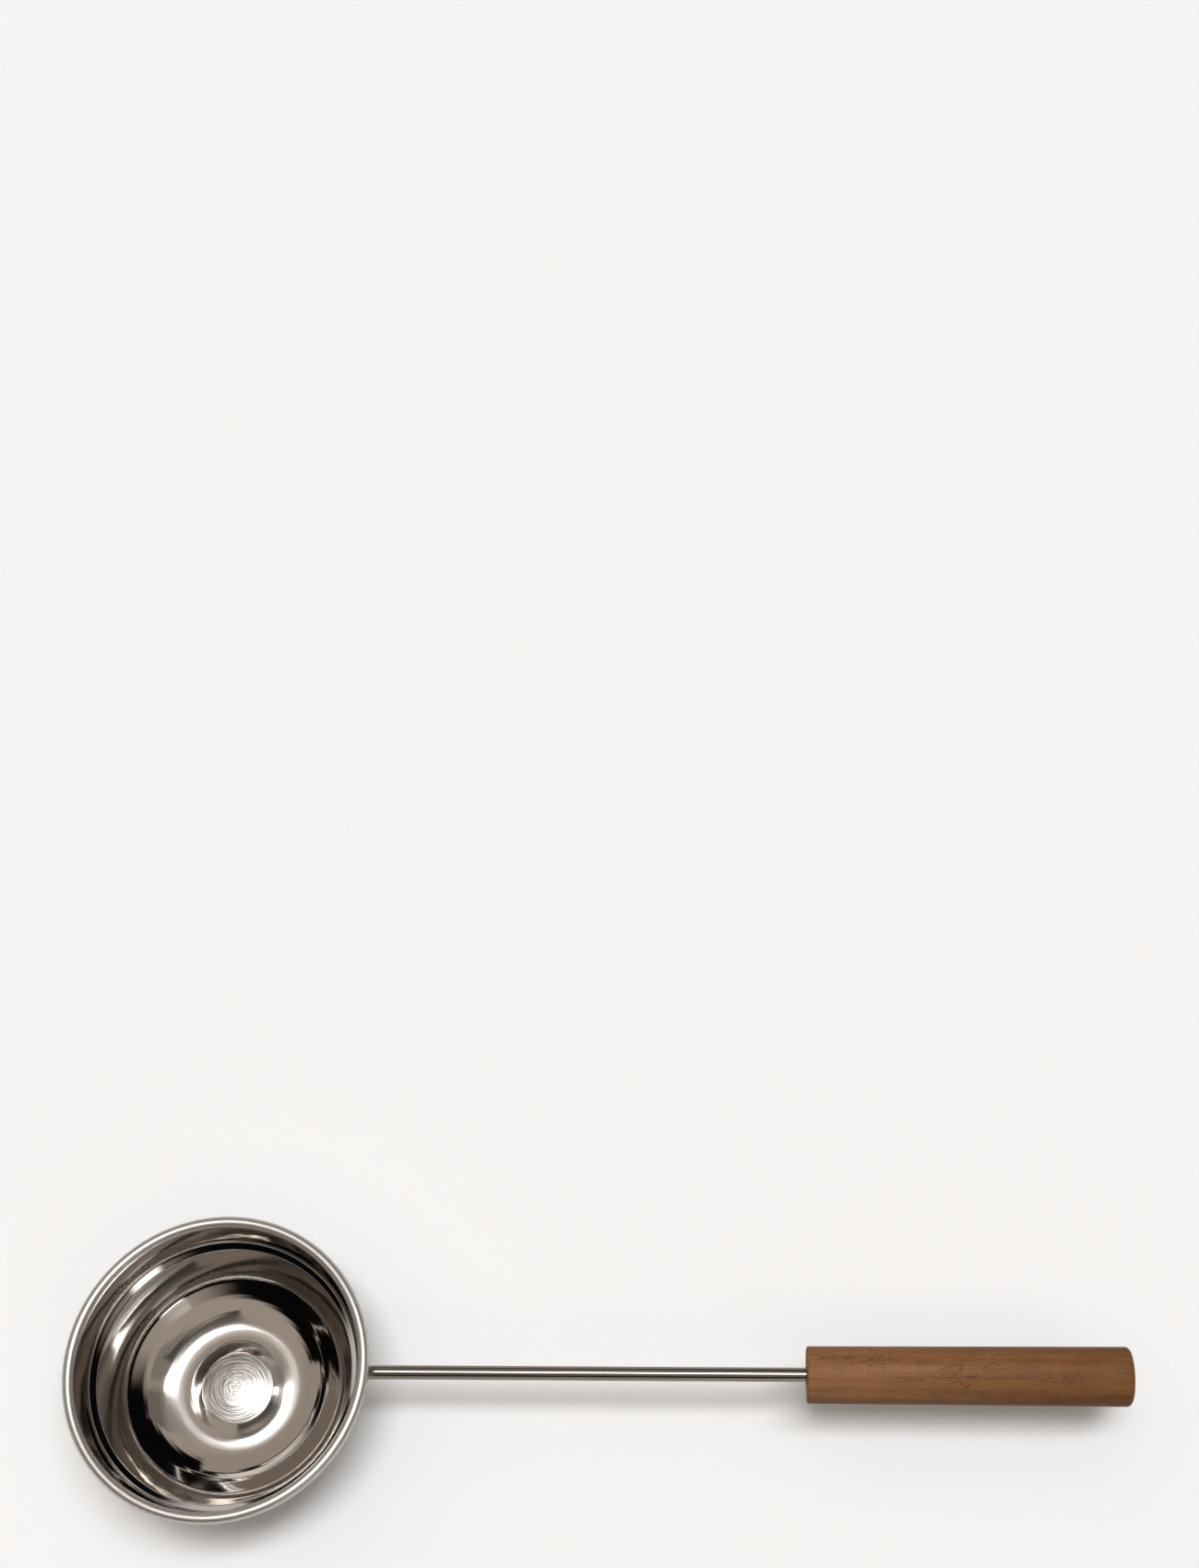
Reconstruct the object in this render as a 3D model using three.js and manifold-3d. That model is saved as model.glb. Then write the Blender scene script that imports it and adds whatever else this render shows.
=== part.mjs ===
// Sauna ladle: a drawn steel bowl with a stepped side and a rolled rim, a round steel rod welded
// to the bowl's side, and a turned wooden grip on the rod's far end.
// Millimetres, +Z up, +X from the bowl to the grip, origin on the floor under the middle of the length.

import * as THREE from 'three';
import { mergeVertices } from 'three/addons/utils/BufferGeometryUtils.js';
import Module from 'manifold-3d';

const wasm = await Module();
wasm.setup();

// Bowl side, from the rim inwards and down: widths are across, depths and drops are down,
// and all but the rim's and the roll's are to the middle of the sheet.
const rimRadius = 60;
const bowlHeight = 45;
const sheet = 0.8;
const rollRadius = 2.3;
const rollGap = 0.9;
const bandLean = 1.9;
const shoulderDepth = 14.9;
const shoulderRound = 2.5;
const ledgeWidth = 3;
const ledgeDrop = 2.1;
const ledgeRound = 0.9;
const wallLean = 6.3;
const wallFootHeight = 9.6;
const wallFootRound = 6;

// Bowl floor, from the wall's foot inwards: a shallow dish down to the narrow foot ring that the bowl
// stands on, then a slope up to a domed centre. Heights are above the foot ring.
const dishWidth = 7.5;
const dishHeight = 2.35;
const dishRound = 40;
const footRadius = 23.3;
const footWidth = 5.5;
const footRound = 12.5;
const centreHeight = 4.6;
const centreRadius = 8.6;
const centreRound = 48;

// Rod and its weld
const rodDiameter = 5.5;
const rodDepth = 11.5;
const rodReach = 168.5;
const rodInsert = 60;
const weldLeg = 1.8;
const weldEdge = 0.3;

// Grip
const gripLength = 123;
const gripFrontDiameter = 21.7;
const gripBackDiameter = 22.5;
const gripFrontRound = 0.8;
const gripBackRound = 1.8;

// Clearances: steel to steel at the weld, glue film round the rod, glue space past its end
const weldGap = 0.3;
const glueGap = 0.3;
const glueSpace = 1;

// Facets
const bowlFacets = 60;
const rodFacets = 32;
const gripFacets = 44;
const arcStep = THREE.MathUtils.degToRad(15);
const rollStep = THREE.MathUtils.degToRad(28);

const floorHeight = sheet / 2;
const shoulderRadius = rimRadius - 2 * rollRadius + sheet / 2 - bandLean;
const ledgeRadius = shoulderRadius - ledgeWidth;
const wallFootRadius = ledgeRadius - wallLean;
const footInner = footRadius - footWidth / 2;
const footOuter = footRadius + footWidth / 2;
const dishRadius = footOuter + dishWidth;
const rodRadius = rodDiameter / 2;
const rodHeight = bowlHeight - rodDepth;
const gripStart = rimRadius + rodReach;
const gripFrontRadius = gripFrontDiameter / 2;
const gripBackRadius = gripBackDiameter / 2;
const gripEnd = gripStart + gripLength;
const middleX = (gripEnd - rimRadius) / 2;

const polishedSteel = { color: 0xb3a99f, roughness: 0.12, metalness: 1 };
const drawnSteel = { color: 0xaaa29b, roughness: 0.18, metalness: 1 };
const weldSteel = { color: 0x6d6863, roughness: 0.45, metalness: 1 };
const brownWood = { color: 0x7f5836, roughness: 0.62, metalness: 0 };

// Points of an arc round a centre, from one angle over a signed turn.
function arcPoints(centre, radius, startAngle, turn, step) {
  const count = Math.max(2, Math.ceil(Math.abs(turn) / step));
  const points = [];
  for (let i = 0; i <= count; i += 1) {
    const angle = startAngle + (turn * i) / count;
    points.push(new THREE.Vector2(centre.x + radius * Math.cos(angle), centre.y + radius * Math.sin(angle)));
  }
  return points;
}

// Half the angle inside a corner between its two straight runs.
function halfAngle(before, corner, after) {
  const toBefore = before.clone().sub(corner).normalize();
  const toAfter = after.clone().sub(corner).normalize();
  return Math.acos(THREE.MathUtils.clamp(toBefore.dot(toAfter), -1, 1)) / 2;
}

// A line through corners of [across, up, round], with each round as its tangent arc.
// Where two rounds need more than the run between them, both shrink to share it.
function roundedLine(corners) {
  const places = corners.map(([across, up]) => new THREE.Vector2(across, up));
  const last = places.length - 1;
  const halves = places.map((place, i) => (i > 0 && i < last ? halfAngle(places[i - 1], place, places[i + 1]) : 0));
  const tangents = corners.map(([, , round], i) => (round > 0 ? round / Math.tan(halves[i]) : 0));
  const shares = places.slice(1).map((place, i) => {
    return Math.min(1, place.distanceTo(places[i]) / (tangents[i] + tangents[i + 1]));
  });
  return places.flatMap((corner, i) => {
    if (tangents[i] === 0) return [corner];
    const tangent = tangents[i] * Math.min(shares[i - 1], shares[i]);
    const toBefore = places[i - 1].clone().sub(corner).normalize();
    const toAfter = places[i + 1].clone().sub(corner).normalize();
    const inward = toBefore.clone().add(toAfter).normalize();
    const centre = corner.clone().addScaledVector(inward, tangent / Math.cos(halves[i]));
    const start = corner.clone().addScaledVector(toBefore, tangent).sub(centre);
    const turn = Math.sign(toAfter.cross(toBefore)) * (Math.PI - 2 * halves[i]);
    return arcPoints(centre, start.length(), start.angle(), turn, arcStep);
  });
}

// The middle line of the bowl's sheet, from the axis out over the floor, up the side and round the rim.
function bowlLine() {
  const rollLine = rollRadius - sheet / 2;
  const rollCentre = new THREE.Vector2(rimRadius - rollRadius, bowlHeight - rollRadius);
  const shoulder = new THREE.Vector2(shoulderRadius, bowlHeight - shoulderDepth);
  const reach = rollCentre.clone().sub(shoulder);
  const bandAngle = reach.angle() + Math.asin(rollLine / reach.length());
  const bandLength = Math.sqrt(reach.lengthSq() - rollLine ** 2);
  const bandTop = new THREE.Vector2(Math.cos(bandAngle), Math.sin(bandAngle)).multiplyScalar(bandLength).add(shoulder);
  const side = roundedLine([
    [0, floorHeight + centreHeight, 0],
    [centreRadius, floorHeight + centreHeight, centreRound],
    [footInner, floorHeight, footRound],
    [footOuter, floorHeight, footRound],
    [dishRadius, floorHeight + dishHeight, dishRound],
    [wallFootRadius, floorHeight + wallFootHeight, wallFootRound],
    [ledgeRadius, shoulder.y - ledgeDrop, ledgeRound],
    [shoulder.x, shoulder.y, shoulderRound],
    [bandTop.x, bandTop.y, 0],
  ]);
  side.pop();
  const rollStart = bandTop.clone().sub(rollCentre).angle();
  const openAngle = Math.acos(THREE.MathUtils.clamp(1 - (rollGap + sheet) / rollLine, -1, 1));
  const roll = arcPoints(rollCentre, rollLine, rollStart, openAngle - 2 * Math.PI, rollStep);
  return { side, roll, rollCentre, shoulder, bandTop };
}

// A line moved sideways: positive to its left, along the mean normal of its neighbouring runs.
function offsetLine(points, distance) {
  return points.map((point, i) => {
    const before = points[Math.max(i - 1, 0)];
    const after = points[Math.min(i + 1, points.length - 1)];
    const runIn = (i > 0 ? point.clone().sub(before) : after.clone().sub(point)).normalize();
    const runOut = (i < points.length - 1 ? after.clone().sub(point) : runIn.clone()).normalize();
    const along = runIn.clone().add(runOut).normalize();
    const left = new THREE.Vector2(-along.y, along.x);
    const stretch = 1 / Math.max(along.dot(runIn), 0.5);
    const moved = point.clone().addScaledVector(left, distance * stretch);
    return i === 0 && point.x === 0 ? new THREE.Vector2(0, point.y + distance) : moved;
  });
}

// A profile of radii and heights turned about Z. It runs anticlockwise, so its faces point outwards.
function turned(profile, facets) {
  const geometry = new THREE.LatheGeometry(profile, facets);
  geometry.rotateX(Math.PI / 2);
  return geometry;
}

// The same, about X: heights become places along the rod.
function turnedAlongRod(profile, facets) {
  const geometry = turned(profile, facets);
  geometry.rotateY(Math.PI / 2);
  geometry.translate(0, 0, rodHeight);
  return geometry;
}

// A closed geometry as a solid that can be cut.
function solidOf(geometry) {
  const bare = geometry.clone();
  bare.deleteAttribute('normal');
  bare.deleteAttribute('uv');
  const merged = mergeVertices(bare, 1e-4);
  const corners = merged.index.array;
  const triangles = [];
  for (let i = 0; i < corners.length; i += 3) {
    const [a, b, c] = [corners[i], corners[i + 1], corners[i + 2]];
    if (a !== b && b !== c && c !== a) triangles.push(a, b, c);
  }
  const vertProperties = new Float32Array(merged.attributes.position.array);
  const triVerts = new Uint32Array(triangles);
  return new wasm.Manifold(new wasm.Mesh({ numProp: 3, vertProperties, triVerts }));
}

// A cut solid back as a geometry.
function geometryOf(solid) {
  const mesh = solid.getMesh();
  const geometry = new THREE.BufferGeometry();
  geometry.setAttribute('position', new THREE.BufferAttribute(new Float32Array(mesh.vertProperties), 3));
  geometry.setIndex(new THREE.BufferAttribute(new Uint32Array(mesh.triVerts), 1));
  geometry.computeVertexNormals();
  return geometry;
}

// The room the bowl takes up, filled in, with the weld gap all round: what the rod and weld are cut by.
function bowlRoom() {
  const { side, roll, rollCentre } = bowlLine();
  const outside = offsetLine([...side, roll[0]], -(sheet / 2 + weldGap));
  const filled = turned([...outside, new THREE.Vector2(0, roll[0].y)], bowlFacets);
  const ring = turned(arcPoints(rollCentre, rollRadius + weldGap, 0, 2 * Math.PI, arcStep), bowlFacets);
  return solidOf(filled).add(solidOf(ring));
}

// The bowl: its sheet's middle line thickened to both sides and turned.
function bowlGeometry() {
  const { side, roll } = bowlLine();
  const line = [...side, ...roll];
  const inside = offsetLine(line, sheet / 2);
  const outside = offsetLine(line, -sheet / 2);
  return turned([...outside, ...inside.reverse()], bowlFacets);
}

// The rod: a plain round bar, its bowl end shaped to the bowl's side.
function rodGeometry(room) {
  const rodEnd = gripStart + rodInsert;
  const profile = [[0, 0], [rodRadius, 0], [rodRadius, rodEnd], [0, rodEnd]];
  const bar = turnedAlongRod(profile.map(([r, x]) => new THREE.Vector2(r, x)), rodFacets);
  return geometryOf(solidOf(bar).subtract(room));
}

// The weld: a hollow-faced fillet round the rod, shaped to the band of the bowl that it sits on.
function weldGeometry(room) {
  const { shoulder, bandTop } = bowlLine();
  const bore = rodRadius + weldGap;
  const share = (rodHeight + rodRadius - shoulder.y) / (bandTop.y - shoulder.y);
  const bandX = THREE.MathUtils.lerp(shoulder.x, bandTop.x, share) + sheet / 2 + weldGap;
  const face = new THREE.Path();
  face.moveTo(bore, ledgeRadius);
  face.lineTo(bore + weldLeg, ledgeRadius);
  face.lineTo(bore + weldLeg, bandX);
  face.quadraticCurveTo(bore + weldEdge, bandX, bore + weldEdge, bandX + weldLeg);
  face.lineTo(bore, bandX + weldLeg);
  face.closePath();
  const facePoints = face.getPoints(6);
  return geometryOf(solidOf(turnedAlongRod(facePoints, rodFacets)).subtract(room));
}

// The grip: a wooden bar that widens a little to its far end, with eased ends and a blind bore for the rod.
function gripGeometry() {
  const bore = rodRadius + glueGap;
  const boreEnd = gripStart + rodInsert + glueSpace;
  const frontEase = new THREE.Vector2(gripFrontRadius - gripFrontRound, gripStart + gripFrontRound);
  const backEase = new THREE.Vector2(gripBackRadius - gripBackRound, gripEnd - gripBackRound);
  const quarter = Math.PI / 2;
  const profile = [
    new THREE.Vector2(0, boreEnd),
    new THREE.Vector2(bore, boreEnd),
    new THREE.Vector2(bore, gripStart),
    ...arcPoints(frontEase, gripFrontRound, -quarter, quarter, rollStep),
    ...arcPoints(backEase, gripBackRound, 0, quarter, rollStep),
    new THREE.Vector2(0, gripEnd),
  ];
  return turnedAlongRod(profile, gripFacets);
}

const ladle = new THREE.Group();
ladle.position.x = -middleX;

function addPiece(name, geometry, look) {
  const piece = new THREE.Mesh(geometry, new THREE.MeshStandardMaterial(look));
  piece.name = name;
  ladle.add(piece);
}

const room = bowlRoom();
addPiece('bowl', bowlGeometry(), polishedSteel);
addPiece('rod', rodGeometry(room), drawnSteel);
addPiece('weld', weldGeometry(room), weldSteel);
addPiece('grip', gripGeometry(), brownWood);

export default ladle;
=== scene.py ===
import math

import bpy
import numpy as np
from mathutils import Matrix, Vector


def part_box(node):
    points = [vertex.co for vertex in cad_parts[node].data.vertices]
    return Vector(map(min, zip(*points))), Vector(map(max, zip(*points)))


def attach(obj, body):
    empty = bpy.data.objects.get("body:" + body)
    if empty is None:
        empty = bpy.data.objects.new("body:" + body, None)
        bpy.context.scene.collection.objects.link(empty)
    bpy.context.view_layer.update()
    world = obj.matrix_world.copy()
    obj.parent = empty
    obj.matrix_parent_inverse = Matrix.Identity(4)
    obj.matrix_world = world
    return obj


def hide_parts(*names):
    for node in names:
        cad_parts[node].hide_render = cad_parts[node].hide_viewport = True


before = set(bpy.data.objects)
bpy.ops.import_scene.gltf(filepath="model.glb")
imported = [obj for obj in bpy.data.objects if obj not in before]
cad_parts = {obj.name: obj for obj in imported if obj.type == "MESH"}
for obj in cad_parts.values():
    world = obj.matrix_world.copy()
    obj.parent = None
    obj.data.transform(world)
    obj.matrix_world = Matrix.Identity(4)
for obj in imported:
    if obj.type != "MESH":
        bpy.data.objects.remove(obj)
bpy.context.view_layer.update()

mm = 0.001
tiny = 1e-6  # mm, below this two points are one
sharpEdge = math.radians(40)  # edges that turn by more stay sharp
scene = bpy.context.scene
scene.view_settings.view_transform = "Standard"
print("ladle: frame loaded,", len(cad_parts), "nodes")


# small helpers

# sRGB hex to linear: each channel is (c + 0.055) / 1.055 to the power 2.4, or c / 12.92 near black
def hexColour(code):
    srgb = np.array([int(code[i:i + 2], 16) for i in (1, 3, 5)]) / 255
    linear = np.where(srgb > 0.04045, ((srgb + 0.055) / 1.055) ** 2.4, srgb / 12.92)
    return (*linear.tolist(), 1.0)


# one node: settings are its own options, values go on its inputs, links come from other outputs
def addNode(tree, kind, values=None, links=None, **settings):
    node = tree.nodes.new(kind)
    for name, value in settings.items():
        setattr(node, name, value)
    for name, value in (values or {}).items():
        node.inputs[name].default_value = value
    for name, socket in (links or {}).items():
        tree.links.new(socket, node.inputs[name])
    return node


# values for a map range: low + (high - low) * (value - start) / (end - start)
def mapped(start, end, low=0.0, high=1.0):
    return {"From Min": start, "From Max": end, "To Min": low, "To Max": high}


# noise stretched along x: how long and how wide its grain is, in mm, and how fine its detail
def barGrain(tree, place, along, across, detail):
    scale = (1 / (along * mm), 1 / (across * mm), 1 / (across * mm))
    stretched = addNode(tree, "ShaderNodeMapping", {"Scale": scale}, {"Vector": place}).outputs[0]
    noise = addNode(tree, "ShaderNodeTexNoise", {"Scale": 1.0, "Detail": detail}, {"Vector": stretched})
    return noise.outputs["Fac"]


# colours along a ramp: it has a first and a last stop already, and the others go between them
def setStops(ramp, stops):
    elements = ramp.color_ramp.elements
    for i in (0, -1):
        elements[i].position = stops[i][0]
        elements[i].color = hexColour(stops[i][1])
    for place, colour in stops[1:-1]:
        elements.new(place).color = hexColour(colour)


# a material with its principled shader, whose inputs get the values
def newMaterial(name, **values):
    material = bpy.data.materials.new(name)
    material.use_nodes = True
    tree = material.node_tree
    shader = tree.nodes["Principled BSDF"]
    for socket, value in values.items():
        shader.inputs[socket.replace("_", " ")].default_value = value
    return material, tree, shader


# running length along a line of points
def lineLength(line):
    return np.concatenate([[0], np.cumsum(np.linalg.norm(np.diff(line, axis=0), axis=1))])


# a line through corners of (across, up, round): at each corner the arc that touches both runs,
# and where two rounds need more than the run between them both shrink to share it
def roundedLine(corners, arcStep, runStep):
    places = np.array([corner[:2] for corner in corners], float)
    rounds = np.array([corner[2] for corner in corners], float)
    runs = np.diff(places, axis=0)
    lengths = np.linalg.norm(runs, axis=1)
    ways = runs / lengths[:, None]
    before, after = ways[:-1], ways[1:]
    cross = before[:, 0] * after[:, 1] - before[:, 1] * after[:, 0]
    turns = np.concatenate([[0], np.arctan2(cross, (before * after).sum(1)), [0]])
    tangents = rounds * np.tan(np.abs(turns) / 2)
    shares = np.minimum(1, lengths / np.maximum(tangents[:-1] + tangents[1:], tiny))
    parts = [places[:1]]
    for i in range(1, len(places) - 1):
        tangent = tangents[i] * min(shares[i - 1], shares[i])
        radius = tangent / math.tan(abs(turns[i]) / 2)
        start = places[i] - ways[i - 1] * tangent
        left = np.array([-ways[i - 1][1], ways[i - 1][0]]) * np.sign(turns[i])
        centre = start + left * radius
        angles = np.linspace(0, turns[i], max(3, math.ceil(abs(turns[i]) / arcStep)))
        arm = start - centre
        parts.append(np.stack([
            centre[0] + arm[0] * np.cos(angles) - arm[1] * np.sin(angles),
            centre[1] + arm[0] * np.sin(angles) + arm[1] * np.cos(angles)], axis=1))
    parts.append(places[-1:])
    line = np.concatenate(parts)
    length = lineLength(line)
    keep = np.concatenate([[True], np.diff(length) > tiny])
    line, length = line[keep], length[keep]
    stops = np.unique(np.concatenate([length, np.arange(0, length[-1], runStep)]).round(6))
    return np.stack([np.interp(stops, length, line[:, 0]), np.interp(stops, length, line[:, 1])], axis=1)


# a line moved sideways along its own normals, positive to its left
def offsetLine(line, distance):
    along = np.gradient(line, axis=0)
    along /= np.linalg.norm(along, axis=1)[:, None]
    return line + distance * np.stack([-along[:, 1], along[:, 0]], axis=1)


# rings of points, each joined to the next by quads; a pole closes an open end with a fan,
# looped joins the last ring to the first, and a negative signed volume turns all faces round
def ringMesh(name, rings, poles=(), looped=False, **attributes):
    rows, columns = rings.shape[:2]
    points = np.concatenate([rings.reshape(-1, 3)] + [np.reshape(pole, (1, 3)) for pole in poles])
    index = np.arange(rows * columns).reshape(rows, columns)
    lower = index if looped else index[:-1]
    upper = np.roll(index, -1, axis=0) if looped else index[1:]
    quads = np.stack([lower, np.roll(lower, -1, 1), np.roll(upper, -1, 1), upper], axis=-1).reshape(-1, 4)
    fans = np.zeros((0, 3), int)
    if len(poles):
        first, last = index[0], index[-1]
        startFan = np.stack([np.full(columns, rows * columns), np.roll(first, -1), first], axis=1)
        endFan = np.stack([np.full(columns, rows * columns + 1), last, np.roll(last, -1)], axis=1)
        fans = np.concatenate([startFan, endFan])
    triangles = np.concatenate([quads[:, [0, 1, 2]], quads[:, [0, 2, 3]], fans])
    a, b, c = (points[triangles[:, i]] for i in range(3))
    if (a * np.cross(b, c)).sum() < 0:
        quads, fans = quads[:, ::-1], fans[:, ::-1]
    mesh = bpy.data.meshes.new(name)
    mesh.from_pydata(points.tolist(), [], quads.tolist() + fans.tolist())
    for title, values in attributes.items():
        layer = mesh.attributes.new(title, "FLOAT", "POINT")
        layer.data.foreach_set("value", np.asarray(values, np.float32))
    mesh.shade_smooth()
    mesh.set_sharp_from_angle(angle=sharpEdge)
    mesh.validate()
    mesh.update()
    piece = bpy.data.objects.new(name, mesh)
    scene.collection.objects.link(piece)
    return piece


# the finished piece takes its node's place, finish and body
def standFor(piece, node, material):
    piece.data.materials.append(material)
    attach(piece, "root")
    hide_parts(node)


# bowl

# widths go across, depths and drops go down, all in mm to the middle of the sheet
bowl = {
    "sheet": 0.8, "rollRadius": 2.3, "rollGap": 0.9, "bandLean": 1.9, "shoulderDepth": 14.9,
    "shoulderRound": 2.5, "ledgeWidth": 3, "ledgeDrop": 2.1, "ledgeRound": 0.9, "wallLean": 6.3,
    "wallFootHeight": 9.6, "wallFootRound": 6, "dishWidth": 7.5, "dishHeight": 2.35, "dishRound": 40,
    "footRadius": 23.3, "footWidth": 5.5, "footRound": 12.5,
    "centreHeight": 4.6, "centreRadius": 8.6, "centreRound": 48, "satinRadius": 14.4,
    "segments": 200, "arcStep": 3.0, "runStep": 1.1, "rollStep": 9.0,
    "sideFrom": 0.25,  # the side starts at this share of the height
    # the finish: pattern sizes, reaches and depths in mm, spreads are the part of a noise that shows
    "steel": "#b8b3ae", "lineDark": "#93908d", "lineLight": "#cdcac6",
    "mirrorRough": (0.03, 0.07), "footRough": 0.17, "rimRough": 0.36, "satinRough": (0.24, 0.46),
    "footReach": (9.5, 5.0), "rimReach": (-0.6, 0.8), "satinReach": (0.25, -0.25),
    "gritSpread": (0.3, 0.7), "lineSpread": (0.36, 0.64),
    "gritSize": 0.35, "lineSize": 0.7, "ringSize": 1.1, "waveSize": 16, "ringSlip": 0.9,
    "lineDepth": 0.15, "ringDepth": 0.0035, "waveDepth": 0.06,
}
bowlLo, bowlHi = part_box("bowl")
bowlAxis = (bowlLo.x + bowlHi.x) / 2 / mm
rimRadius = (bowlHi.y - bowlLo.y) / 2 / mm
bowlHeight = bowlHi.z / mm


# the middle line of the sheet from the axis out over the floor, up the side and round the rolled rim;
# the band is the line from the shoulder that touches the roll's circle
def bowlLine(size):
    half = size["sheet"] / 2
    rollLine = size["rollRadius"] - half
    rollCentre = np.array([rimRadius, bowlHeight]) - size["rollRadius"]
    mouth = rimRadius - 2 * size["rollRadius"] + half
    shoulder = np.array([mouth - size["bandLean"], bowlHeight - size["shoulderDepth"]])
    reach = rollCentre - shoulder
    span = np.linalg.norm(reach)
    bandAngle = math.atan2(reach[1], reach[0]) + math.asin(rollLine / span)
    bandLength = math.sqrt(span ** 2 - rollLine ** 2)
    bandTop = shoulder + bandLength * np.array([math.cos(bandAngle), math.sin(bandAngle)])
    ledge = shoulder - [size["ledgeWidth"], size["ledgeDrop"]]
    footHalf = size["footWidth"] / 2
    side = roundedLine([
        (0, half + size["centreHeight"], 0),
        (size["centreRadius"], half + size["centreHeight"], size["centreRound"]),
        (size["footRadius"] - footHalf, half, size["footRound"]),
        (size["footRadius"] + footHalf, half, size["footRound"]),
        (size["footRadius"] + footHalf + size["dishWidth"], half + size["dishHeight"], size["dishRound"]),
        (ledge[0] - size["wallLean"], half + size["wallFootHeight"], size["wallFootRound"]),
        (*ledge, size["ledgeRound"]),
        (*shoulder, size["shoulderRound"]),
        (*bandTop, 0)], math.radians(size["arcStep"]), size["runStep"])
    rollStart = math.atan2(*(bandTop - rollCentre)[::-1])
    openAngle = math.acos(1 - (size["rollGap"] + size["sheet"]) / rollLine)
    turn = openAngle - 2 * math.pi
    angles = rollStart + np.linspace(0, turn, math.ceil(abs(turn) / math.radians(size["rollStep"])))
    roll = rollCentre + rollLine * np.stack([np.cos(angles), np.sin(angles)], axis=1)
    return side, roll[1:]


# the sheet: the middle line moved half a thickness to each side, turned about the bowl's axis;
# "across" is the running length in mm from the axis, positive inside and negative outside
def makeBowl(size):
    side, roll = bowlLine(size)
    line = np.concatenate([side, roll])
    length = lineLength(line)
    outside, inside = offsetLine(line, -size["sheet"] / 2), offsetLine(line, size["sheet"] / 2)
    profile = np.concatenate([outside[1:], inside[:0:-1]])
    across = np.concatenate([-length[1:], length[:0:-1]])
    angle = np.linspace(0, 2 * math.pi, size["segments"], endpoint=False)
    rings = np.stack([
        bowlAxis + profile[:, :1] * np.cos(angle),
        profile[:, :1] * np.sin(angle),
        np.repeat(profile[:, 1:], len(angle), axis=1)], axis=-1) * mm
    poles = np.array([[bowlAxis, 0, outside[0, 1]], [bowlAxis, 0, inside[0, 1]]]) * mm
    piece = ringMesh("bowl_sheet", rings, poles, across=np.append(np.repeat(across, len(angle)), [0, 0]))
    sideLength = length[:len(side)]
    marks = {
        "satin": float(np.interp(size["satinRadius"], side[:, 0], sideLength)),
        "foot": float(np.interp(size["footRadius"], side[:, 0], sideLength)),
        "rim": float(sideLength[-1])}
    return piece, marks, outside[:len(side)]


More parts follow.
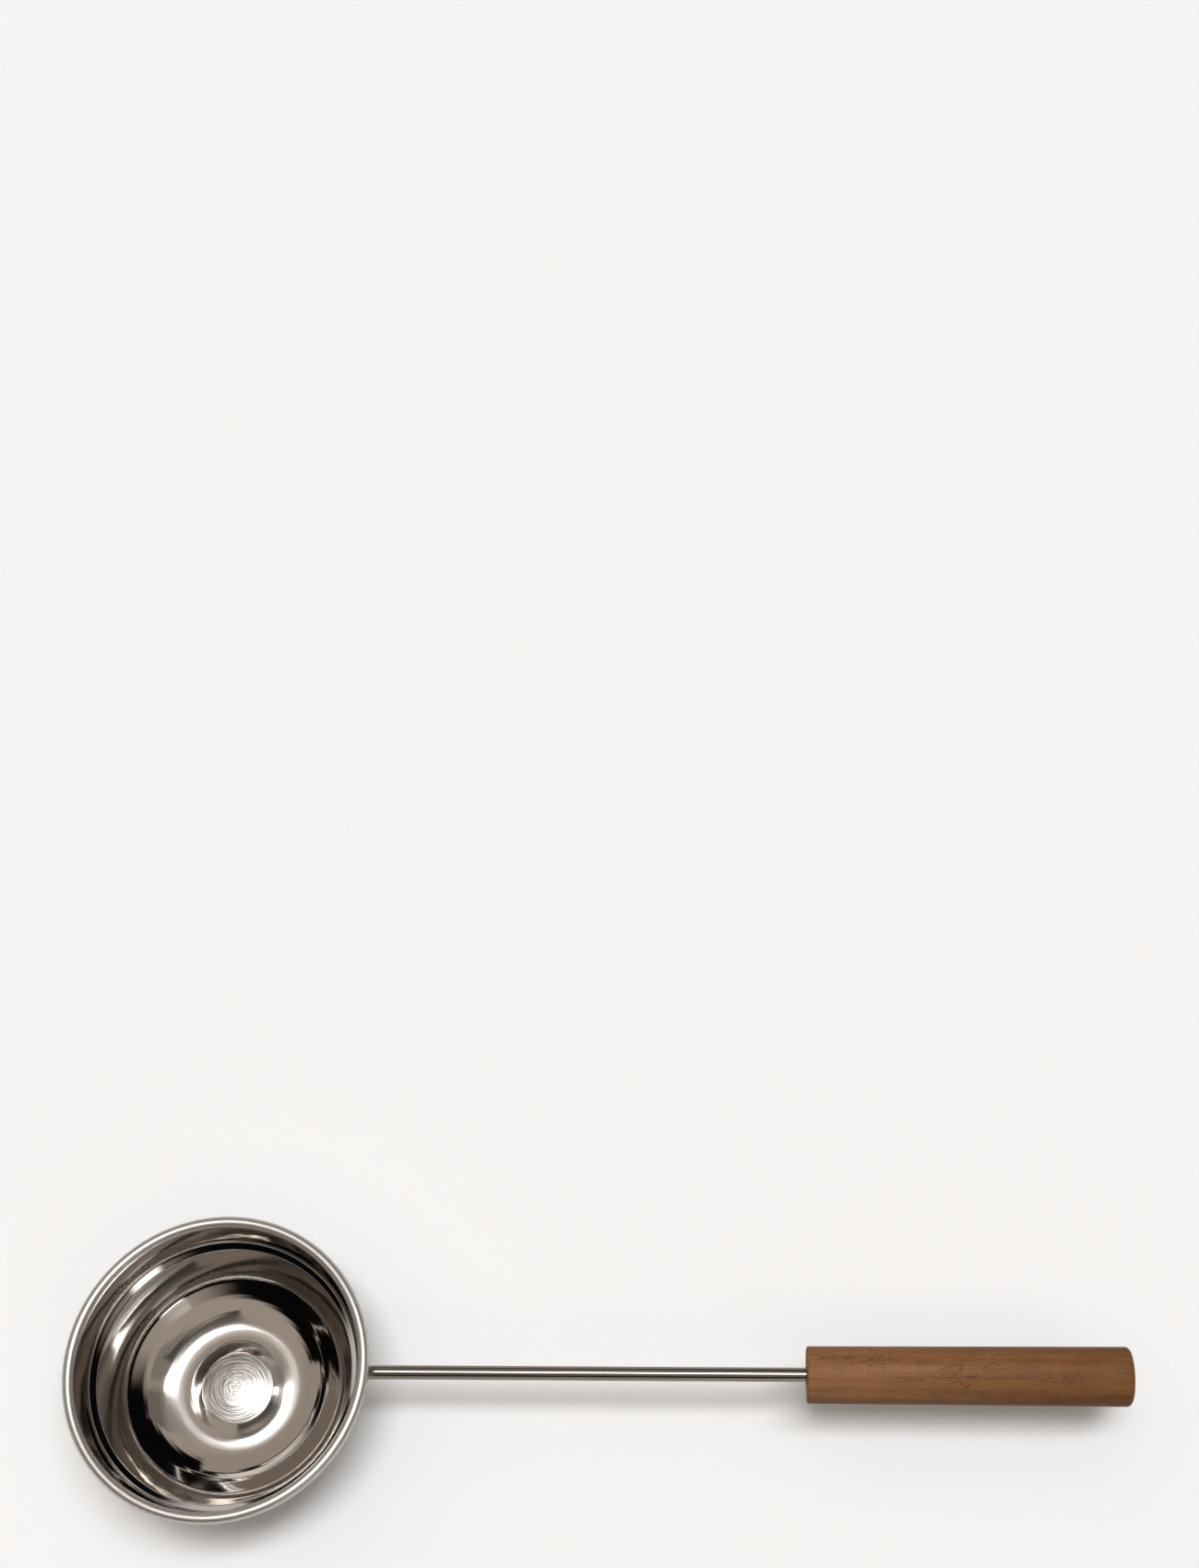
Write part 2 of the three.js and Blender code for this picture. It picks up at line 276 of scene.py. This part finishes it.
# Stainless sheet, drawn on a press and polished on a wheel: a warm grey mirror with faint rings from
# the wheel and a slow waviness, a softer foot ring, a satin turned centre, and a rim that was only
# brushed after rolling. The grit and the turned lines are drawn coarser than they are, so that they show.
def polishedSheet(size, marks):
    material, tree, shader = newMaterial("polished_stainless_sheet", Metallic=1.0)
    across = addNode(tree, "ShaderNodeAttribute", attribute_name="across").outputs["Fac"]
    place = addNode(tree, "ShaderNodeTexCoord").outputs["Object"]

    # where the wheel's patterns are read: the bearing round the axis, and the running length in mm for z
    centred = addNode(tree, "ShaderNodeMapping", {"Location": (-bowlAxis * mm, 0, 0)}, {"Vector": place})
    flat = addNode(tree, "ShaderNodeVectorMath", {1: (1, 1, 0)}, {0: centred.outputs[0]},
                   operation="MULTIPLY").outputs[0]
    bearing = addNode(tree, "ShaderNodeVectorMath", links={0: flat}, operation="NORMALIZE").outputs[0]
    slip = addNode(tree, "ShaderNodeVectorMath", {1: [size["ringSlip"]] * 3}, {0: bearing},
                   operation="MULTIPLY").outputs[0]
    depth = addNode(tree, "ShaderNodeCombineXYZ", links={"Z": across}).outputs[0]
    wheel = addNode(tree, "ShaderNodeVectorMath", links={0: slip, 1: depth}, operation="ADD").outputs[0]

    # how much each place is satin centre, rolled rim or foot ring
    satinEdge = mapped(*(marks["satin"] + reach for reach in size["satinReach"]))
    satin = addNode(tree, "ShaderNodeMapRange", satinEdge, {"Value": across},
                    interpolation_type="SMOOTHSTEP").outputs[0]
    inside = addNode(tree, "ShaderNodeMath", {1: 0.0}, {0: across}, operation="GREATER_THAN").outputs[0]
    satinIn = addNode(tree, "ShaderNodeMath", links={0: satin, 1: inside}, operation="MULTIPLY").outputs[0]
    length = addNode(tree, "ShaderNodeMath", links={0: across}, operation="ABSOLUTE").outputs[0]
    rimEdge = mapped(*(marks["rim"] + reach for reach in size["rimReach"]))
    rim = addNode(tree, "ShaderNodeMapRange", rimEdge, {"Value": length},
                  interpolation_type="SMOOTHSTEP").outputs[0]
    fromFoot = addNode(tree, "ShaderNodeMath", {1: marks["foot"]}, {0: length},
                       operation="SUBTRACT").outputs[0]
    footFar = addNode(tree, "ShaderNodeMath", links={0: fromFoot}, operation="ABSOLUTE").outputs[0]
    foot = addNode(tree, "ShaderNodeMapRange", mapped(*size["footReach"]), {"Value": footFar},
                   interpolation_type="SMOOTHSTEP").outputs[0]

    # roughness: mirror, then the foot ring, the rim and the satin centre on top
    grit = addNode(tree, "ShaderNodeTexNoise", {"Scale": 1 / size["gritSize"], "Detail": 4.0},
                   {"Vector": wheel}).outputs["Fac"]
    mirror = addNode(tree, "ShaderNodeMapRange", mapped(0, 1, *size["mirrorRough"]),
                     {"Value": grit}).outputs[0]
    ringed = addNode(tree, "ShaderNodeMix", {"B": size["footRough"]},
                     {"Factor": foot, "A": mirror}).outputs[0]
    rolled = addNode(tree, "ShaderNodeMix", {"B": size["rimRough"]},
                     {"Factor": rim, "A": ringed}).outputs[0]
    turned = addNode(tree, "ShaderNodeMapRange", mapped(*size["gritSpread"], *size["satinRough"]),
                     {"Value": grit}).outputs[0]
    rough = addNode(tree, "ShaderNodeMix", links={"Factor": satinIn, "A": rolled, "B": turned}).outputs[0]
    tree.links.new(rough, shader.inputs["Roughness"])

    # colour: warm grey, with lighter and darker turned lines in the satin
    lines = addNode(tree, "ShaderNodeTexNoise", {"Scale": 1 / size["lineSize"], "Detail": 3.0},
                    {"Vector": wheel}).outputs["Fac"]
    lineMix = addNode(tree, "ShaderNodeMapRange", mapped(*size["lineSpread"]), {"Value": lines}).outputs[0]
    lineTints = {"A": hexColour(size["lineDark"]), "B": hexColour(size["lineLight"])}
    satinTint = addNode(tree, "ShaderNodeMix", lineTints, {"Factor": lineMix},
                        data_type="RGBA").outputs["Result"]
    tint = addNode(tree, "ShaderNodeMix", {"A": hexColour(size["steel"])},
                   {"Factor": satinIn, "B": satinTint}, data_type="RGBA").outputs["Result"]
    tree.links.new(tint, shader.inputs["Base Color"])

    # bump: slow waviness of the drawn sheet, rings from the polishing wheel, turned satin lines
    wave = addNode(tree, "ShaderNodeTexNoise", {"Scale": 1 / (size["waveSize"] * mm), "Detail": 1.0},
                   {"Vector": place}).outputs["Fac"]
    rings = addNode(tree, "ShaderNodeTexNoise", {"Scale": 1 / size["ringSize"], "Detail": 2.0},
                    {"Vector": wheel}).outputs["Fac"]
    linesIn = addNode(tree, "ShaderNodeMath", links={0: lines, 1: satinIn}, operation="MULTIPLY").outputs[0]
    waveBump = addNode(tree, "ShaderNodeBump", {"Strength": 1.0, "Distance": size["waveDepth"] * mm},
                       {"Height": wave})
    ringBump = addNode(tree, "ShaderNodeBump", {"Strength": 1.0, "Distance": size["ringDepth"] * mm},
                       {"Height": rings, "Normal": waveBump.outputs[0]})
    lineBump = addNode(tree, "ShaderNodeBump", {"Strength": 1.0, "Distance": size["lineDepth"] * mm},
                       {"Height": linesIn, "Normal": ringBump.outputs[0]})
    tree.links.new(lineBump.outputs[0], shader.inputs["Normal"])
    return material


bowlPiece, bowlMarks, bowlOutside = makeBowl(bowl)
standFor(bowlPiece, "bowl", polishedSheet(bowl, bowlMarks))
print("ladle: bowl turned,", len(bowlPiece.data.polygons), "faces")


# rod

# mm; streaks and hair scratches are length, width and detail
rod = {
    "gap": 0.03, "segments": 64, "stations": 70,
    "tints": ("#868079", "#756f69"), "rough": (0.1, 0.24),
    "streaks": (60, 0.35, 3.0), "scratches": (14, 0.2, 2.0), "scratchDepth": 0.004,
}
rodLo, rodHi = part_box("rod")
rodRadius = (rodHi.z - rodLo.z) / 2 / mm
rodHeight = (rodHi.z + rodLo.z) / 2 / mm
rodEnd = rodHi.x / mm


# how far along x the bowl's outside lies, at a place across and up:
# x = axis + root(radius(up)^2 - across^2)
def bowlSideX(y, z, gap):
    wall = bowlOutside[bowlOutside[:, 1] > bowl["sideFrom"] * bowlHeight]
    radius = np.interp(z, wall[:, 1], wall[:, 0]) + gap
    return bowlAxis + np.sqrt(np.maximum(radius ** 2 - y ** 2, 0))


# a round bar whose first ring lies on the bowl's side: x = start + (end - start) * share
def makeRod(size):
    angle = np.linspace(0, 2 * math.pi, size["segments"], endpoint=False)
    y, z = rodRadius * np.cos(angle), rodHeight + rodRadius * np.sin(angle)
    start = bowlSideX(y, z, size["gap"])
    share = np.linspace(0, 1, size["stations"])[:, None]
    x = start + (rodEnd - start) * share
    rings = np.stack([x, np.broadcast_to(y, x.shape), np.broadcast_to(z, x.shape)], axis=-1) * mm
    poles = np.array([[bowlSideX(0, rodHeight, size["gap"]), 0, rodHeight], [rodEnd, 0, rodHeight]]) * mm
    return ringMesh("rod_bar", rings, poles)


# Stainless bar, drawn bright through a die: a mirror that streaks along its length, with hair scratches,
# all a little wider than they are, so that they show.
def drawnBar(size):
    material, tree, shader = newMaterial("bright_drawn_stainless_bar", Metallic=1.0)
    place = addNode(tree, "ShaderNodeTexCoord").outputs["Object"]
    drawn = barGrain(tree, place, *size["streaks"])
    scratch = barGrain(tree, place, *size["scratches"])
    rough = addNode(tree, "ShaderNodeMapRange", mapped(0, 1, *size["rough"]), {"Value": drawn}).outputs[0]
    tints = dict(zip("AB", map(hexColour, size["tints"])))
    tint = addNode(tree, "ShaderNodeMix", tints, {"Factor": drawn}, data_type="RGBA").outputs["Result"]
    bump = addNode(tree, "ShaderNodeBump", {"Strength": 1.0, "Distance": size["scratchDepth"] * mm},
                   {"Height": scratch})
    tree.links.new(rough, shader.inputs["Roughness"])
    tree.links.new(tint, shader.inputs["Base Color"])
    tree.links.new(bump.outputs[0], shader.inputs["Normal"])
    return material


rodPiece = makeRod(rod)
standFor(rodPiece, "rod", drawnBar(rod))
print("ladle: rod drawn,", len(rodPiece.data.polygons), "faces")


# weld

# mm; two sets of ripples go round, each with its count and share, the second turned a little
weld = {
    "gap": 0.05, "leg": 2.0, "segments": 128, "steps": 18, "sideSteps": 5,
    "ripple": 0.1, "ripples": (15, 23), "rippleShares": (0.6, 0.4), "rippleTurn": 1.3,
    "rough": 0.38, "tintSize": 2.2, "grainSize": 0.5, "grainDepth": 0.05,
    "tints": [(0.35, "#2f2c2a"), (0.52, "#4a4038"), (0.7, "#6a645e")],
}


# a hollow fillet round the rod: out from the rod by leg * (1 - sin a), off the bowl by leg * (1 - cos a),
# the leg rippling round the rod as the bead was laid, then back down the rod and out along the bowl
def makeWeld(size):
    angle = np.linspace(0, 2 * math.pi, size["segments"], endpoint=False)
    coarse = np.sin(size["ripples"][0] * angle) * size["rippleShares"][0]
    fine = np.sin(size["ripples"][1] * angle + size["rippleTurn"]) * size["rippleShares"][1]
    leg = size["leg"] * (1 + size["ripple"] * (coarse + fine))
    a = np.linspace(0, math.pi / 2, size["steps"])[:, None]
    down = np.linspace(1, 0, size["sideSteps"])[1:, None]
    out = np.linspace(0, 1, size["sideSteps"])[1:-1, None]
    off = rodRadius + size["gap"] + leg * np.concatenate([1 - np.sin(a), 0 * down, out])
    lift = leg * np.concatenate([1 - np.cos(a), down, 0 * out])
    y, z = off * np.cos(angle), rodHeight + off * np.sin(angle)
    x = bowlSideX(y, z, size["gap"]) + lift
    return ringMesh("weld_fillet", np.stack([x, y, z], axis=-1) * mm, looped=True)


# Stainless weld, wire brushed: dull dark grey with patches of brown heat tint, and a fine grain.
def brushedWeld(size):
    material, tree, shader = newMaterial("wire_brushed_weld", Metallic=1.0, Roughness=size["rough"])
    place = addNode(tree, "ShaderNodeTexCoord").outputs["Object"]
    heat = addNode(tree, "ShaderNodeTexNoise", {"Scale": 1 / (size["tintSize"] * mm), "Detail": 2.0},
                   {"Vector": place}).outputs["Fac"]
    ramp = addNode(tree, "ShaderNodeValToRGB", links={"Fac": heat})
    setStops(ramp, size["tints"])
    grain = addNode(tree, "ShaderNodeTexNoise", {"Scale": 1 / (size["grainSize"] * mm), "Detail": 3.0},
                    {"Vector": place}).outputs["Fac"]
    bump = addNode(tree, "ShaderNodeBump", {"Strength": 1.0, "Distance": size["grainDepth"] * mm},
                   {"Height": grain})
    tree.links.new(ramp.outputs["Color"], shader.inputs["Base Color"])
    tree.links.new(bump.outputs[0], shader.inputs["Normal"])
    return material


weldPiece = makeWeld(weld)
standFor(weldPiece, "weld", brushedWeld(weld))
print("ladle: weld laid,", len(weldPiece.data.polygons), "faces")


# grip

# mm; streaks to blotches are the length, width and detail of their grain, and each spread is the part of
# that grain that shows and the shade that it gives
grip = {
    "frontRadius": 10.85, "frontRound": 0.8, "backRound": 1.8, "boreGap": 0.1, "boreEase": 0.5,
    "boreSpace": 0.5, "poleRadius": 0.4, "segments": 112, "stationStep": 2.0, "arcStep": 12.0,
    "browns": [(0.25, "#6c4829"), (0.5, "#895f3c"), (0.78, "#9f734e")], "farShade": "#d7cbbc",
    "streaks": (80, 3.5, 3.0), "fibres": (13, 0.6, 4.0), "fibreShare": 0.45,
    "clusters": (26, 9, 2.0), "clusterSpread": (0.42, 0.6), "pores": (2.4, 0.6, 1.0),
    "poreSpread": (0.56, 0.68, 0.0, 0.5), "turning": (0.5, 6, 2.0), "turningSpread": (0.56, 0.74, 1.0, 0.86),
    "blotches": (9, 12, 2.0), "blotchSpread": (0.35, 0.7, 0.93, 1.05),
    "specular": 0.15, "rough": (0.48, 0.66), "poreDepth": 0.08, "fibreDepth": 0.04,
}
gripLo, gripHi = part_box("grip")
gripStart, gripEnd = gripLo.x / mm, gripHi.x / mm
gripBackRadius = (gripHi.z - gripLo.z) / 2 / mm


# a bar turned about the rod's line: out along the bore, over the front, back along the widening side
def makeGrip(size):
    bore = rodRadius + size["boreGap"]
    boreEnd = rodEnd + size["boreSpace"]
    shell = roundedLine([
        (boreEnd, bore, 0),
        (gripStart, bore, size["boreEase"]),
        (gripStart, size["frontRadius"], size["frontRound"]),
        (gripEnd, gripBackRadius, size["backRound"]),
        (gripEnd, size["poleRadius"], 0)], math.radians(size["arcStep"]), size["stationStep"])
    angle = np.linspace(0, 2 * math.pi, size["segments"], endpoint=False)
    rings = np.stack([
        np.repeat(shell[:, :1], len(angle), axis=1),
        shell[:, 1:] * np.cos(angle),
        rodHeight + shell[:, 1:] * np.sin(angle)], axis=-1) * mm
    poles = np.array([[boreEnd, 0, rodHeight], [gripEnd, 0, rodHeight]]) * mm
    return ringMesh("grip_bar", rings, poles)


# Heat-treated hardwood, turned and lightly oiled: an even brown with fine fibres along the bar, short dark
# pores in clusters and faint marks across from the turning, made darker and redder towards the far end.
# Pores and marks are wider than they are, so that they show.
def brownHardwood(size):
    material, tree, shader = newMaterial("heat_treated_hardwood", Specular_IOR_Level=size["specular"])
    place = addNode(tree, "ShaderNodeTexCoord").outputs["Object"]

    # streaks and fibres choose the brown
    streaks = barGrain(tree, place, *size["streaks"])
    fibres = barGrain(tree, place, *size["fibres"])
    mixed = addNode(tree, "ShaderNodeMix", {"Factor": size["fibreShare"]}, {"A": streaks, "B": fibres})
    ramp = addNode(tree, "ShaderNodeValToRGB", links={"Fac": mixed.outputs[0]})
    setStops(ramp, size["browns"])

    # pores, turning marks and blotches darken it
    clusterGrain = barGrain(tree, place, *size["clusters"])
    clusters = addNode(tree, "ShaderNodeMapRange", mapped(*size["clusterSpread"]), {"Value": clusterGrain})
    poreGrain = barGrain(tree, place, *size["pores"])
    pores = addNode(tree, "ShaderNodeMapRange", mapped(*size["poreSpread"]), {"Value": poreGrain})
    poreDark = addNode(tree, "ShaderNodeMath", links={0: pores.outputs[0], 1: clusters.outputs[0]},
                       operation="MULTIPLY").outputs[0]
    poreShade = addNode(tree, "ShaderNodeMapRange", mapped(0, 1, 1, 0), {"Value": poreDark}).outputs[0]
    turningGrain = barGrain(tree, place, *size["turning"])
    turning = addNode(tree, "ShaderNodeMapRange", mapped(*size["turningSpread"]), {"Value": turningGrain})
    blotchGrain = barGrain(tree, place, *size["blotches"])
    blotches = addNode(tree, "ShaderNodeMapRange", mapped(*size["blotchSpread"]), {"Value": blotchGrain})
    shade = poreShade
    for darker in (turning, blotches):
        shade = addNode(tree, "ShaderNodeMath", links={0: shade, 1: darker.outputs[0]},
                        operation="MULTIPLY").outputs[0]
    shaded = addNode(tree, "ShaderNodeVectorMath", links={0: ramp.outputs["Color"], "Scale": shade},
                     operation="SCALE").outputs[0]

    # darker and redder towards the far end
    lengthways = addNode(tree, "ShaderNodeSeparateXYZ", links={"Vector": place}).outputs["X"]
    far = addNode(tree, "ShaderNodeMapRange", mapped(gripStart * mm, gripEnd * mm), {"Value": lengthways})
    farTints = {"A": hexColour("#ffffff"), "B": hexColour(size["farShade"])}
    farShade = addNode(tree, "ShaderNodeMix", farTints, {"Factor": far.outputs[0]},
                       data_type="RGBA").outputs["Result"]
    colour = addNode(tree, "ShaderNodeVectorMath", links={0: shaded, 1: farShade},
                     operation="MULTIPLY").outputs[0]
    tree.links.new(colour, shader.inputs["Base Color"])

    # roughness and bump: open pores and raised fibres
    rough = addNode(tree, "ShaderNodeMapRange", mapped(0, 1, *size["rough"]), {"Value": fibres}).outputs[0]
    poreBump = addNode(tree, "ShaderNodeBump", {"Strength": 1.0, "Distance": size["poreDepth"] * mm},
                       {"Height": poreShade})
    fibreBump = addNode(tree, "ShaderNodeBump", {"Strength": 1.0, "Distance": size["fibreDepth"] * mm},
                        {"Height": fibres, "Normal": poreBump.outputs[0]})
    tree.links.new(rough, shader.inputs["Roughness"])
    tree.links.new(fibreBump.outputs[0], shader.inputs["Normal"])
    return material


gripPiece = makeGrip(grip)
standFor(gripPiece, "grip", brownHardwood(grip))
print("ladle: grip turned,", len(gripPiece.data.polygons), "faces")


# floor, light and camera

# metres
floor = {"half": 4.0, "drop": 0.0003, "rough": 0.95, "colour": "#f6f6f6", "bounce": "#3a3938"}


# a square sheet just under the foot ring, with corners at plus and minus half its width
def makeFloor(size):
    square = np.array([[-1, -1, 0], [1, -1, 0], [1, 1, 0], [-1, 1, 0]])
    corners = size["half"] * square - [0, 0, size["drop"]]
    mesh = bpy.data.meshes.new("floor")
    mesh.from_pydata(corners.tolist(), [], [(0, 1, 2, 3)])
    plane = bpy.data.objects.new("floor", mesh)
    scene.collection.objects.link(plane)
    mesh.materials.append(whitePaper(size))


# Uncoated white paper, pressed dull: pale and without gloss to the camera and in the steel, and a darker
# grey for the light that it throws back at the wood.
def whitePaper(size):
    material, tree, shader = newMaterial("matt_white_paper", Roughness=size["rough"], Specular_IOR_Level=0.0)
    rays = addNode(tree, "ShaderNodeLightPath").outputs
    seen = rays["Is Camera Ray"]
    for ray in ("Is Glossy Ray", "Is Transmission Ray"):
        seen = addNode(tree, "ShaderNodeMath", links={0: seen, 1: rays[ray]}, operation="MAXIMUM").outputs[0]
    tints = {"A": hexColour(size["bounce"]), "B": hexColour(size["colour"])}
    tint = addNode(tree, "ShaderNodeMix", tints, {"Factor": seen}, data_type="RGBA").outputs["Result"]
    tree.links.new(tint, shader.inputs["Base Color"])
    return material


# the room as the steel shows it: a pale ceiling, dark walls, paler and darker parts between them, one white
# panel and a pale horizon, each laid over the last. Walls and horizon start below one height and are full
# below another; corners are tilts from the zenith, right and up in the photo; all these are degrees, and
# lowest is the least height, as a sine, that still divides
room = {
    "ceiling": "#cdc1b6", "lowest": 0.02,
    "walls": {"below": (44, 38), "colour": "#0d0c0c"},
    "patches": [
        {"corners": [(-14, 12), (8, 33), (27, 38), (40, 34), (42, 12)], "soft": 5, "colour": "#b4aca4"},
        {"corners": [(24, 38), (46, 40), (46, 18), (29, 16)], "soft": 6, "colour": "#8f877f"},
        {"corners": [(-24, -6), (30, 10), (44, 10), (42, -14), (20, -24), (-14, -24)], "soft": 7,
         "colour": "#a59e97"},
        {"corners": [(-42, 0), (0, 42), (0, 63), (-45, 60), (-60, 45), (-63, 0)], "soft": 6,
         "colour": "#c4b8ad"},
        {"corners": [(-11.7, -21.3), (20.5, -0.6), (32.8, -6.3), (-12.4, -33.9)], "soft": 4,
         "colour": "#66615d"},
        {"corners": [(40, -35), (29, -43.5), (36, -51), (48, -43)], "soft": 9,
         "colour": "#ffffff", "light": 2.6},
        {"corners": [(-13, 9.2), (10, 11.5), (26.5, 14.5), (26, 7.5), (5, -9), (-10, -7.5)], "soft": 4,
         "colour": "#fbfdff", "light": 12.8},
    ],
    "horizon": {"below": (17, 12), "colour": "#f2f2f2"},
}


# the edges of one part of the room, each a value and the pair of numbers between which the part fades in:
# a height, or the sides of a patch, where a side is a line normal . (x / z, y / z) = offset overhead
def roomEdges(tree, part, height, overhead):
    if "below" in part:
        return [(height, np.sin(np.radians(part["below"])))]
    corners = np.tan(np.radians(np.array(part["corners"], float)))
    middle = corners.mean(0)
    soft = math.radians(part["soft"]) / 2
    edges = []
    for start, end in zip(corners, np.roll(corners, -1, axis=0)):
        normal = np.array([start[1] - end[1], end[0] - start[0]]) / np.linalg.norm(end - start)
        normal *= np.sign(normal @ (middle - start))
        side = addNode(tree, "ShaderNodeVectorMath", {1: (*normal, -normal @ start)}, {0: overhead},
                       operation="DOT_PRODUCT")
        edges.append((side.outputs["Value"], (-soft, soft)))
    return edges


# each part covers what is under it by the smallest of the smooth steps over its edges
def makeRoom(size):
    world = bpy.data.worlds.new("studio_room")
    scene.world = world
    world.use_nodes = True
    tree = world.node_tree
    way = addNode(tree, "ShaderNodeTexCoord").outputs["Generated"]
    height = addNode(tree, "ShaderNodeSeparateXYZ", links={"Vector": way}).outputs["Z"]
    above = addNode(tree, "ShaderNodeMath", {1: size["lowest"]}, {0: height}, operation="MAXIMUM").outputs[0]
    apart = addNode(tree, "ShaderNodeMath", {0: 1.0}, {1: above}, operation="DIVIDE").outputs[0]
    overhead = addNode(tree, "ShaderNodeVectorMath", links={0: way, "Scale": apart},
                       operation="SCALE").outputs[0]
    ceiling = addNode(tree, "ShaderNodeRGB")
    ceiling.outputs[0].default_value = hexColour(size["ceiling"])
    shade = ceiling.outputs[0]
    for part in (size["walls"], *size["patches"], size["horizon"]):
        cover = None
        for edge, reach in roomEdges(tree, part, height, overhead):
            step = addNode(tree, "ShaderNodeMapRange", mapped(*reach), {"Value": edge},
                           interpolation_type="SMOOTHSTEP").outputs[0]
            if cover is not None:
                step = addNode(tree, "ShaderNodeMath", links={0: cover, 1: step},
                               operation="MINIMUM").outputs[0]
            cover = step
        light = part.get("light", 1.0)
        glow = (*[channel * light for channel in hexColour(part["colour"])[:3]], 1.0)
        shade = addNode(tree, "ShaderNodeMix", {"B": glow}, {"Factor": cover, "A": shade},
                        data_type="RGBA").outputs["Result"]
    tree.links.new(shade, tree.nodes["Background"].inputs["Color"])


# the photo is 1300 x 1700: focal length and the height of the lens axis are in its pixels
view = {
    "right": (0.998371, 0.018113, -0.054102), "down": (-0.005157, -0.915736, -0.401747),
    "place": (0.04772, -0.17103, 0.80466),
    "focal": 2171.5, "axisY": 1060, "frameHeight": 1700, "sensor": 36.0,
}


# the camera's axes are its right, its up and its back as columns
def makeCamera(size):
    right, up = Vector(size["right"]), -Vector(size["down"])
    back = right.cross(up)
    data = bpy.data.cameras.new("camera")
    data.sensor_width = size["sensor"]
    data.lens = size["focal"] / size["frameHeight"] * size["sensor"]
    data.shift_y = (size["axisY"] - size["frameHeight"] / 2) / size["frameHeight"]
    camera = bpy.data.objects.new("camera", data)
    turn = Matrix((right, up, back)).transposed().to_4x4()
    camera.matrix_world = Matrix.Translation(size["place"]) @ turn
    scene.collection.objects.link(camera)
    scene.camera = camera


makeFloor(floor)
makeRoom(room)
makeCamera(view)
print("ladle: floor, room and camera set")
